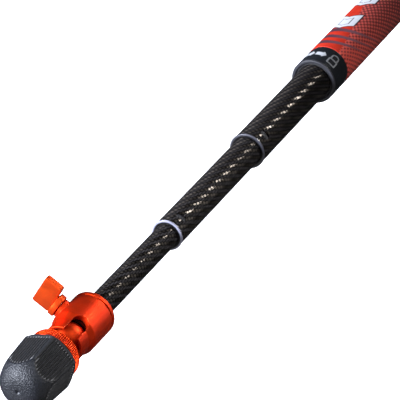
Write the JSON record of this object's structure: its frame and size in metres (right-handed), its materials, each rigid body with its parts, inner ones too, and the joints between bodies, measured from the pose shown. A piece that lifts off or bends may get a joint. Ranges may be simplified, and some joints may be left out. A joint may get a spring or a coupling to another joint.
{
  "type": "telescopic pole",
  "caption": "Telescopic carbon pole with a twist-lock collar, slim inner sections, a small locking ball head with a knurled platform, and a screw-on domed rubber foot.",
  "frame": {"origin": "centre of the butt's end face, on the pole's axis, where the thread opens", "axes": "+Z along the pole from the butt to the ball head; the head's thumb screw points to +X and the socket's slot opens to -Y"},
  "size_m": [0.0504, 0.0366, 1.0102],
  "materials": {
    "red_print": "printed and clear-coated carbon tube",
    "black_plastic": "satin moulded plastic",
    "grey_plastic": "satin moulded plastic",
    "ring_grey": "satin moulded plastic",
    "ring_light": "satin moulded plastic",
    "carbon": "clear-coated twill carbon fibre",
    "orange": "orange anodised, satin",
    "steel": "machined",
    "black_steel": "machined, black oxide",
    "brass": "machined",
    "nylon": "natural acetal",
    "rubber": "moulded, fine grain"
  },
  "bodies": {
    "outer_tube": {"outer_tube": "red_print", "butt_cap": "black_plastic", "butt_pad": "rubber", "butt_thread_insert": "brass", "lock_sleeve": "black_plastic"},
    "clamp_ring": {"clamp_ring": "steel"},
    "collar": {"twist_collar": "black_plastic", "collar_mouth_ring": "grey_plastic", "wiper_ring": "rubber"},
    "section_1": {"section_1_tube": "carbon", "section_1_end_ring": "ring_grey", "section_1_guide_bush": "nylon"},
    "lock_2": {"lock_2_expander": "nylon"},
    "lock_2_cone": {"lock_2_cone": "brass"},
    "section_2": {"section_2_tube": "carbon", "section_2_end_ring": "ring_light", "section_2_plug": "steel", "lock_2_stud": "steel"},
    "lock_3": {"lock_3_expander": "nylon"},
    "lock_3_cone": {"lock_3_cone": "brass"},
    "section_3": {"section_3_tube": "carbon", "section_3_plug": "steel", "lock_3_stud": "steel", "section_3_top_plug": "steel", "head_stud": "steel", "head_base_cap": "orange", "head_housing": "orange"},
    "pressure_cup": {"pressure_cup": "black_steel"},
    "lock_plunger": {"lock_plunger": "steel"},
    "thumb_screw": {"thumb_screw_shaft": "steel", "thumb_knob": "orange"},
    "ball_seat": {"ball_seat": "nylon"},
    "ball": {"ball": "orange"},
    "platform": {"platform_disc": "orange", "mount_stud": "steel", "platform_pad": "rubber"},
    "foot_insert": {"foot_thread_insert": "brass"},
    "foot": {"rubber_foot": "rubber"}
  },
  "joints": [
    {"name": "collar_twist", "type": "hinge", "parent": "outer_tube", "child": "collar", "pos_m": [0, 0, 0.572], "axis": [0, 0, 1], "range_deg": [0, 90]},
    {"name": "clamp_slide", "type": "slide", "parent": "outer_tube", "child": "clamp_ring", "axis": [0, 0, 1], "range_m": [-0.0012, 0]},
    {"name": "section_1_slide", "type": "slide", "parent": "outer_tube", "child": "section_1", "axis": [0, 0, 1], "range_m": [-0.111, 0.36]},
    {"name": "section_2_slide", "type": "slide", "parent": "section_1", "child": "lock_2", "axis": [0, 0, 1], "range_m": [-0.12, 0.35]},
    {"name": "section_2_twist", "type": "hinge", "parent": "lock_2", "child": "section_2", "pos_m": [0, 0, 0.306], "axis": [0, 0, 1], "range_deg": [0, 270]},
    {"name": "cone_2_slide", "type": "slide", "parent": "lock_2", "child": "lock_2_cone", "axis": [0, 0, 1], "range_m": [-0.0015, 0]},
    {"name": "section_3_slide", "type": "slide", "parent": "section_2", "child": "lock_3", "axis": [0, 0, 1], "range_m": [-0.099, 0.32]},
    {"name": "section_3_twist", "type": "hinge", "parent": "lock_3", "child": "section_3", "pos_m": [0, 0, 0.46], "axis": [0, 0, 1], "range_deg": [0, 270]},
    {"name": "cone_3_slide", "type": "slide", "parent": "lock_3", "child": "lock_3_cone", "axis": [0, 0, 1], "range_m": [-0.0015, 0]},
    {"name": "plunger_slide", "type": "slide", "parent": "section_3", "child": "lock_plunger", "axis": [1, 0, 0], "range_m": [0, 0.0007]},
    {"name": "thumb_turn", "type": "hinge", "parent": "lock_plunger", "child": "thumb_screw", "pos_m": [0.018, 0, 0.9326], "axis": [1, 0, 0], "range_deg": [0, 360]},
    {"name": "cup_slide", "type": "slide", "parent": "section_3", "child": "pressure_cup", "axis": [0, 0, 1], "range_m": [-0.0003, 0]},
    {"name": "ball_roll", "type": "hinge", "parent": "section_3", "child": "ball_seat", "pos_m": [0, 0, 0.9494], "axis": [0, 1, 0], "range_deg": [-25, 25]},
    {"name": "ball_tilt", "type": "hinge", "parent": "ball_seat", "child": "ball", "pos_m": [0, 0, 0.9494], "axis": [1, 0, 0], "range_deg": [-25, 90]},
    {"name": "platform_spin", "type": "hinge", "parent": "ball", "child": "platform", "pos_m": [0, 0, 0.969], "axis": [0, 0, 1], "continuous": true},
    {"name": "foot_lift", "type": "slide", "parent": "platform", "child": "foot_insert", "axis": [0, 0, 1], "range_m": [0, 0.00635]},
    {"name": "foot_turn", "type": "hinge", "parent": "foot_insert", "child": "foot", "pos_m": [0, 0, 0.985], "axis": [0, 0, 1], "range_deg": [0, 1800]}
  ],
  "couplings": [
    {"joint": "collar_twist", "follows": "clamp_slide", "rad_per_m": -1309},
    {"joint": "section_2_twist", "follows": "cone_2_slide", "rad_per_m": -3141.6},
    {"joint": "section_3_twist", "follows": "cone_3_slide", "rad_per_m": -3141.6},
    {"joint": "thumb_turn", "follows": "plunger_slide", "rad_per_m": 8976},
    {"joint": "cup_slide", "follows": "plunger_slide", "ratio": -0.35714},
    {"joint": "foot_turn", "follows": "foot_lift", "rad_per_m": 4947.4}
  ]
}
